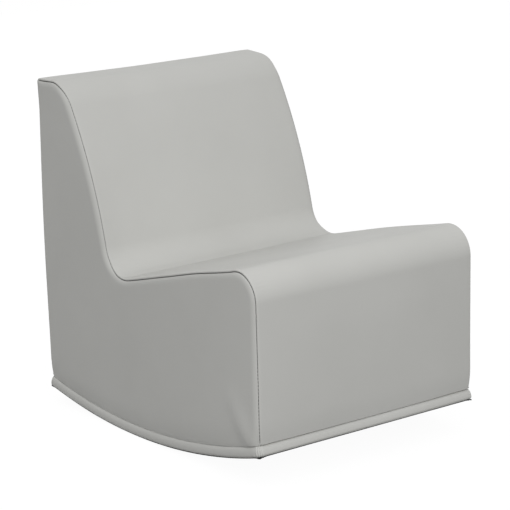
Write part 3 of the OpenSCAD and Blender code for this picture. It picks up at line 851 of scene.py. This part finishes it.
def wrapped_cover(name, node, rows):
    closed, opened = columns()
    verts = []
    for s, row_d in rows:
        point, inwards = at_length(s)
        for x, col_d in mixed(closed, opened, opening(s)):
            d = col_d + row_d + wrap_relief(x, s) * smooth_step(SEAM_X - abs(x), 0, WRAP_REACH)
            verts.append(shaped(x, *(point + d * inwards)))
    return cover(name, node, verts, grid_faces(len(rows), len(closed), flip=True))


def seat_back_rows():
    seamed = end_rim(REAR_SEAM, -1)
    return [(s, 0.0) for s in stations(0, seamed[-1][0])][:-1] + seamed[::-1]


def rear_rows():
    seamed = end_rim(REAR_SEAM, 1)
    return seamed + [(s, 0.0) for s in stations(seamed[-1][0], place_of("rear_tuck", 1))][1:]


# Base band: vinyl round the board's edge, gathered at the corners

BAND_TURN_STEPS = 30
BAND_STEP = 0.006
BAND_PROUD = 0.0006
# Lower edge's radius, upright part's height, and how far the upper part leans in to the body and bulges up
BAND_LOW_R = 0.0042
BAND_UPRIGHT = 0.002
BAND_LEAN_IN = 0.0056
BAND_RISE = 0.0013
BAND_LOW_STEPS = 6
BAND_HIGH_STEPS = 11
# Bow of the front, and the lengths between which it comes in
BAND_FULL = 0.0028
BAND_FULL_SPAN = (0.2, 0.28)
BAND_WAVES = ((0.0003, 14.0, 9.0), (0.00015, 40.0, 2.0))
# Gathers at the corners, which stand out less than they dip
FOLD_D = 0.0006
FOLD_PITCH = 0.0036
FOLD_REACH = 0.008
FOLD_OUT_SHARE = 0.4
FOLD_WANDER = (2.0, 9.0, 3.0)
BAND_RING_R = ROCKER_R - BAND_D - BAND_HALF
FRONT_L = BAND_RING_R * math.asin((BAND_HALF - FRONT_REACH) / BAND_RING_R) - BAND_HALF
REAR_L = BAND_RING_R * math.asin((REAR_REACH - BAND_HALF) / BAND_RING_R) + BAND_HALF


def on_base(x, length, d):
    """Point of the curved base: across, length along its middle layer, and distance in."""
    a = length / BAND_RING_R
    return x, (ROCKER_R - d) * math.sin(a), ROCKER_R - (ROCKER_R - d) * math.cos(a)


def band_ring(e):
    """Loop round the base in plan, in by e from the band's edge: (x, length) from the rear right corner."""
    r = max(BAND_CORNER_R - e, BAND_CORNER_R - BAND_HALF)
    x, front, rear = BODY_W / 2 - e - r, FRONT_L + e + r, REAR_L - e - r
    centres = [np.array(c) for c in ((x, rear), (-x, rear), (-x, front), (x, front))]
    out = []
    for k, centre in enumerate(centres):
        out += [centre + r * unit(90 * (k + i / BAND_TURN_STEPS)) for i in range(BAND_TURN_STEPS + 1)]
        run = centres[(k + 1) % 4] - centre
        n = math.ceil((REAR_L - FRONT_L if k % 2 else BODY_W) / BAND_STEP)
        out += [out[-1] + run / n] + [out[-1] + run * i / n for i in range(2, n)]
    return np.array(out)


def from_corner(ring):
    """Distance of each point of a ring from the middle of its nearest corner, signed along the ring."""
    gaps = np.linalg.norm(np.roll(ring, -1, axis=0) - ring, axis=1)
    at, total = np.cumsum(gaps) - gaps, gaps.sum()
    corners = [at[np.argmax(ring @ np.array(c))] for c in ((1, 1), (-1, 1), (-1, -1), (1, -1))]
    off = np.array([(at - c + total / 2) % total - total / 2 for c in corners])
    return off[np.argmin(abs(off), axis=0), range(len(ring))]


def band_dips(ring):
    """How far in the band's edge dips: gathers at the corners, and a slight unevenness elsewhere."""
    out = []
    for (x, length), c in zip(ring, from_corner(ring)):
        place = (x, length, 0)
        phase = 2 * math.pi * c / FOLD_PITCH + wobble(place, FOLD_WANDER)
        gathers = FOLD_D * hump(c, 0, FOLD_REACH) * max(math.sin(phase), -FOLD_OUT_SHARE)
        out.append(gathers + wobble(place, *BAND_WAVES))
    return np.array(out)


def band_section():
    """The band's section from hem to hem: (in from its edge, in from the base's underside, normal's slope).

    Below its widest line it turns under sharply, and above it leans in towards the body.
    """
    hems = [BOARD_HEM_W, (BOARD_HEM_W + BAND_HALF) / 2]
    widest = BAND_D + BAND_LOW_R
    high = BASE_T + BAND_RISE - widest - BAND_UPRIGHT
    out = [(e, BAND_D, None) for e in hems]
    for k in range(BAND_LOW_STEPS + 1):
        a = math.radians(90 * k / BAND_LOW_STEPS)
        out.append((BAND_LOW_R * (1 - math.sin(a)), widest - BAND_LOW_R * math.cos(a), math.pi / 2 - a))
    for k in range(BAND_HIGH_STEPS + 1):
        a = math.radians(90 * k / BAND_HIGH_STEPS)
        slope = math.atan2(-math.sin(a) / high, math.cos(a) / BAND_LEAN_IN)
        out.append((BAND_LEAN_IN * (1 - math.cos(a)), widest + BAND_UPRIGHT + high * math.sin(a), slope))
    return out + [(e, BASE_T, None) for e in hems[::-1]]


def band():
    section = band_section()
    dips = band_dips(band_ring(0))
    verts = []
    for e, d, slope in section:
        ring = band_ring(e - BAND_PROUD)
        deeper = np.zeros(len(ring))
        if slope is not None:
            inwards = (band_ring(e - BAND_PROUD + NEAR_E) - ring) / NEAR_E
            ring = ring + (dips * math.cos(slope))[:, None] * inwards
            deeper = dips * math.sin(slope)
        for (x, length), dip in zip(ring, deeper):
            full = BAND_FULL * smooth_step(-length, *BAND_FULL_SPAN) * across_share(x)
            verts.append(on_base(x, length - full, d + dip))
    faces = grid_faces(len(section), len(dips), close_cols=True)
    return cover("band_vinyl", "board_cover", verts, faces)


# Dust cloth: turned in at its edge, dented by its staples and folded double at the corners

CLOTH_SKIN_T = 0.0003
CLOTH_LOW_D = 0.00012
CLOTH_SLACK = 0.0001
CLOTH_UNEVEN = (0.0001, 22.0, 6.0)
STAPLE_DENT = 0.00062
STAPLE_DENT_L = 0.0075
STAPLE_DENT_W = 0.004
STAPLE_PITCH = 0.052
CORNER_FOLD = 0.0018
CORNER_FOLD_REACH = 0.007
CORNER_PLEAT_PITCH = 0.0035
CORNER_PLEAT_SHARE = 0.25
# Spacing of the mesh, and what share of it is left beside the rows of staples
CLOTH_STEP = 0.0045
CLOTH_FINE_SHARE = 0.35
CLOTH_FINE_REACH = 0.01


def staple_places():
    """Crowns of the staples: (x, depth, 0 where the crown runs across and 1 where it runs along)."""
    x1, y0, y1 = BODY_W / 2 - STAPLE_IN, STAPLE_IN - FRONT_REACH, REAR_REACH - STAPLE_IN
    across, along = math.ceil(2 * x1 / STAPLE_PITCH), math.ceil((y1 - y0) / STAPLE_PITCH)
    ends = [(-x1 + 2 * x1 * k / across, y, 0) for y in (y0, y1) for k in range(1, across)]
    return ends + [(x, y0 + (y1 - y0) * k / along, 1) for x in (-x1, x1) for k in range(along + 1)]


def cloth_lines(low, high, staple_lines):
    """Grid lines between two edges, closer together beside the rows of staples."""
    out, at = [low], low
    while at < high:
        near = min(abs(at - s) for s in staple_lines)
        at += CLOTH_STEP * (CLOTH_FINE_SHARE if near < CLOTH_FINE_REACH else 1)
        out.append(at)
    return [low + (at - low) * (high - low) / (out[-1] - low) for at in out]


def staple_dent(x, length, staples):
    """Depth of the staples' dents at a place of the cloth."""
    at_x, at_l, along = staples.T
    reach_x = mixed(STAPLE_DENT_L, STAPLE_DENT_W, along)
    reach_l = mixed(STAPLE_DENT_W, STAPLE_DENT_L, along)
    away = ((at_x - x) / reach_x) ** 2 + ((at_l - length) / reach_l) ** 2
    return STAPLE_DENT * min(float(np.exp(-away).sum()), 1)


def dust_cloth():
    front, rear = FRONT_L + CLOTH_MARGIN, REAR_L - CLOTH_MARGIN
    side = BODY_W / 2 - CLOTH_MARGIN
    staples = np.array([(x, BAND_RING_R * math.asin(y / ROCKER_R), way) for x, y, way in staple_places()])
    xs = cloth_lines(-side, side, [staples[:, 0].min(), staples[:, 0].max()])
    lengths = cloth_lines(front, rear, [staples[:, 1].min(), staples[:, 1].max()])
    # The first and the last line come twice, so that the edge can turn in
    xs, lengths = [xs[0]] + xs + [xs[-1]], [lengths[0]] + lengths + [lengths[-1]]
    verts = []
    for i, length in enumerate(lengths):
        for j, x in enumerate(xs):
            dent = staple_dent(x, length, staples)
            slack = (CLOTH_SLACK + wobble((x, length, 0), CLOTH_UNEVEN)) * (1 - dent / STAPLE_DENT)
            to_corner = math.hypot(side - abs(x), min(length - front, rear - length))
            pleats = math.sin(2 * math.pi * (abs(x) - abs(length)) / CORNER_PLEAT_PITCH)
            fold = CORNER_FOLD * mixed(1, pleats, CORNER_PLEAT_SHARE) * hump(to_corner, 0, CORNER_FOLD_REACH)
            turned_in = i in (0, len(lengths) - 1) or j in (0, len(xs) - 1)
            d = CLOTH_T - CLOTH_SKIN_T if turned_in else CLOTH_LOW_D + dent + slack - fold
            verts.append(on_base(x, length, d))
    faces = grid_faces(len(lengths), len(xs), flip=True)
    return cover("dust_cloth", "bottom_cloth", verts, faces, DUST_CLOTH, CLOTH_SKIN_T, "dust_cloth")


# Stitches in the seams' grooves, in near-black thread whose dark colour also paints the grooves' shade

STITCH_PITCH = 0.0052
STITCH_L = 0.0043
STITCH_R = 0.0003
STITCH_END_SHARE = 0.45
STITCH_OUT = 0.0006
STITCH_DIP = 0.0005
STITCH_SIDES = 6
STITCH_STEPS = 4


def stitch_run(start, end, place):
    """Stitches from start to end of a groove; place gives its point at a length, and the way out of it."""
    verts, faces = [], []
    n = int((end - start) / STITCH_PITCH)
    for k in range(n):
        s0 = start + (end - start) * k / n
        first = len(verts)
        for j in range(STITCH_STEPS + 1):
            share = j / STITCH_STEPS
            point, out = place(s0 + STITCH_L * share)
            ahead, _ = place(s0 + STITCH_L * share + NEAR_L)
            run = (ahead - point) / np.linalg.norm(ahead - point)
            arch = 1 - (2 * share - 1) ** 4
            centre = point + out * (STITCH_OUT - STITCH_DIP * (1 - arch))
            across = np.cross(run, out)
            radius = STITCH_R * mixed(STITCH_END_SHARE, 1, arch)
            for i in range(STITCH_SIDES):
                a = 2 * math.pi * i / STITCH_SIDES
                verts.append(centre + radius * (math.cos(a) * across + math.sin(a) * out))
        tube = grid_faces(STITCH_STEPS + 1, STITCH_SIDES, close_cols=True)
        faces += [tuple(first + i for i in face) for face in tube]
        faces.append(tuple(first + i for i in reversed(range(STITCH_SIDES))))
        faces.append(tuple(first + STITCH_STEPS * STITCH_SIDES + i for i in range(STITCH_SIDES)))
    return verts, faces


def side_groove(side):
    """Groove of a side seam: where its covers meet, and the way out between their beads."""

    def place(s):
        point, inwards = at_length(s)
        share = opening(s)
        e, x = mixed(*np.array(CONTACTS), share)
        across, out = mixed(*np.array(GROOVES), share)
        way = np.array([side * across, *(-out * inwards)])
        return shaped(side * x, *(point + e * inwards)), way / np.linalg.norm(way)

    return place


def end_groove(s):
    """Groove of the end seam at length s."""
    point, inwards = at_length(s)

    def place(x):
        return shaped(x, *(point + END_SEAM_E * inwards)), np.array([0, -inwards[0], -inwards[1]])

    return place


# The stitches lie in the grooves, and their near-black colour is painted shade along the seam lines
def seam_thread_and_groove_shade():
    runs = [stitch_run(place_of("front"), place_of("rear_tuck"), side_groove(side)) for side in (-1, 1)]
    runs.append(stitch_run(-SEAM_X, SEAM_X, end_groove(REAR_SEAM)))
    verts, faces = [], []
    for run_verts, run_faces in runs:
        faces += [tuple(k + len(verts) for k in f) for f in run_faces]
        verts += run_verts
    return dress(new_object("seam_thread_and_groove_shade", at_rest(verts), faces, THREAD_AND_GROOVE_SHADE), "dust_cloth")


# Foam: the pads and the board's edge beads, with their cut edges eased

FOAM_SHRINK = 0.0015
FOAM_EDGE = 0.0025
FOAM_EDGE_STEPS = 3
FOAM_EDGE_DEG = 35
FOAM_FLAT_DEG = 1
FOAM_JOIN_L = 0.00001
PADS = ["seat_pad", "back_pad", "front_pad", "rear_pad", "side_pad_left", "side_pad_right"]


def foam(node, name):
    """Foam in place of a node, with its edges eased and pressed down where the seat is."""
    bm = bmesh.new()
    bm.from_mesh(frame["nodes"][node].data)
    bmesh.ops.remove_doubles(bm, verts=bm.verts, dist=FOAM_JOIN_L)
    bmesh.ops.dissolve_limit(bm, angle_limit=math.radians(FOAM_FLAT_DEG), verts=bm.verts, edges=bm.edges)
    for vert in bm.verts:
        x, y, z = upright(vert.co)
        vert.co = at_rest((x, y, z - seat_drop(x, y, z)))
    bm.normal_update()
    mesh = bpy.data.meshes.new(name)
    bm.to_mesh(mesh)
    bm.free()
    mesh.materials.append(FOAM)
    obj = placed(name, mesh)
    ease = obj.modifiers.new("eased_edges", "BEVEL")
    ease.width = FOAM_EDGE
    ease.segments = FOAM_EDGE_STEPS
    ease.limit_method = "ANGLE"
    ease.angle_limit = math.radians(FOAM_EDGE_DEG)
    clear = obj.modifiers.new("clear_of_covers", "DISPLACE")
    clear.mid_level = 0.0
    clear.strength = -FOAM_SHRINK
    dress(obj, "foam", node)
    return obj


def solid_materials():
    """Finishes of the solids that stay as the frame has them."""
    across, front_to_back, up = 0, 1, 2
    ribs = ["side_frame_left", "side_frame_right", "centre_frame"]
    decks = ["seat_deck", "back_deck", "rear_panel"]
    rails = [node for node in frame["nodes"] if node.endswith("_rail")]
    finishes = {
        wood_material("plywood_ribs", PLYWOOD_TONES, front_to_back, plies=across): ribs,
        wood_material("plywood_board", PLYWOOD_TONES, across, plies=up): ["rocker_board"],
        wood_material("plywood_decks", PLYWOOD_TONES, across, plies=up): decks,
        wood_material("softwood", SOFTWOOD_TONES, across): rails + ["corner_blocks"],
        hardboard_material(): ["front_panel"],
        steel_material(): ["cloth_staples", "board_bolts", "board_washers", "t_nuts", "frame_screws"],
    }
    for material, nodes in finishes.items():
        for node in nodes:
            for slot in frame["nodes"][node].material_slots:
                slot.material = material


# Build

side_left, side_right = side_panel(-1), side_panel(1)
seat_back = wrapped_cover("seat_back_vinyl", "seat_back_cover", seat_back_rows())
rear = wrapped_cover("rear_vinyl", "rear_cover", rear_rows())
band_vinyl = band()
cloth = dust_cloth()
seam_thread_and_groove_shade()
foams = {pad: foam(pad, pad.replace("pad", "foam")) for pad in PADS}
foam("board_edge_padding", "band_foam")
solid_materials()

# Points of the whole outline, in order round the body
cut_loop = np.array([OUTLINE[name](t) for name, t in steps(OUTLINE)])


# Floor, light and camera

WORLD_LEVEL = 0.424
WORLD_TOP = 0.492
FLOOR_W = 8.0
# The floor's grey to the object and to the eye, and the white glow that the eye sees over it, by a share
FLOOR_GREYS = (0.15, 0.5)
FLOOR_WHITE = 1.12
FLOOR_WHITE_SHARE = 0.85
KEY_PLACE = (-1.41, -2.44, 1.276)
KEY_AIM = (0, 0, 0.25)
KEY_SIZE = 1.6
KEY_POWER = 33.1


def to_the_eye(tree):
    """1 for rays from the camera and in reflections or glass, 0 for the light that falls on the object."""
    path = add_node(tree, "ShaderNodeLightPath")
    last = path.outputs["Is Camera Ray"]
    for name in ("Is Glossy Ray", "Is Transmission Ray"):
        either = add_node(tree, "ShaderNodeMath", {0: last, 1: path.outputs[name]}, operation="MAXIMUM")
        last = either.outputs[0]
    return last


def floor():
    """Pale floor: dark to the object, white to the eye, and still darker where the object shades it."""
    m = Nodes("pale_floor", Roughness=0.9, Specular_IOR_Level=0.0)
    seen = to_the_eye(m.tree)
    m.colour(m.tones(seen, shades(FLOOR_GREYS), 0, 1))
    share = m.add("ShaderNodeMath", {0: seen, 1: FLOOR_WHITE_SHARE}, operation="MULTIPLY")
    glow = m.add("ShaderNodeEmission", {"Color": WHITE, "Strength": FLOOR_WHITE})
    mix = m.add("ShaderNodeMixShader", {0: share.outputs[0], 1: m.shader.outputs[0], 2: glow.outputs[0]})
    m.tree.links.new(mix.outputs[0], m.tree.nodes["Material Output"].inputs["Surface"])
    half = FLOOR_W / 2
    verts = [(-half, -half, 0), (half, -half, 0), (half, half, 0), (-half, half, 0)]
    new_object("floor", verts, [(0, 1, 2, 3)], m.material)


def world():
    """Soft light all round, more of it from above; the eye and the reflections see white."""
    made = bpy.data.worlds.new("studio")
    made.use_nodes = True
    tree = made.node_tree
    way = add_node(tree, "ShaderNodeTexCoord").outputs["Generated"]
    height = add_node(tree, "ShaderNodeSeparateXYZ", {0: way}).outputs["Z"]
    level = span(tree, height, WORLD_LEVEL, WORLD_LEVEL + WORLD_TOP)
    strength = span(tree, to_the_eye(tree), level, 1.0)
    background = tree.nodes["Background"]
    background.inputs["Color"].default_value = WHITE
    tree.links.new(strength, background.inputs["Strength"])
    bpy.context.scene.world = made


def key_lamp():
    lamp = bpy.data.lights.new("key", "AREA")
    lamp.size = KEY_SIZE
    lamp.energy = KEY_POWER
    obj = placed("key", lamp)
    obj.location = KEY_PLACE
    aim = Vector(KEY_AIM) - obj.location
    obj.rotation_euler = aim.to_track_quat("-Z", "Y").to_euler()


# Camera, fitted to the photograph's outlines: its direction in degrees, distance and aim, before the lean
IMAGE_PX = 510
FOCAL_PX = 2200
SENSOR_MM = 36
CAM_AZIMUTH = -37.956
CAM_ELEVATION = 15.545
CAM_DISTANCE = 3.3582
CAM_AIM = (0.02584, -0.03426, 0.24186)
# Further lean of the photographed seat, which the camera takes up by rolling about the rocker's centre
PHOTO_LEAN = 1.5


def camera():
    az, el = math.radians(CAM_AZIMUTH), math.radians(CAM_ELEVATION)
    back = Vector((math.sin(az) * math.cos(el), -math.cos(az) * math.cos(el), math.sin(el)))
    right = Vector((0, 0, 1)).cross(back).normalized()
    axes = Matrix((right, back.cross(right), back)).transposed().to_4x4()
    centre = Vector((0, 0, ROCKER_R))
    lean = Matrix.Rotation(math.radians(PHOTO_LEAN), 4, "X")
    place = lean @ (Vector(CAM_AIM) + CAM_DISTANCE * back - centre) + centre - Vector(MIDDLE)
    data = bpy.data.cameras.new("camera")
    data.sensor_width = SENSOR_MM
    data.lens = FOCAL_PX * SENSOR_MM / IMAGE_PX
    obj = placed("camera", data)
    obj.matrix_world = Matrix.Translation(place) @ lean @ axes
    bpy.context.scene.camera = obj


floor()
world()
key_lamp()
camera()
bpy.context.scene.view_settings.view_transform = "Standard"
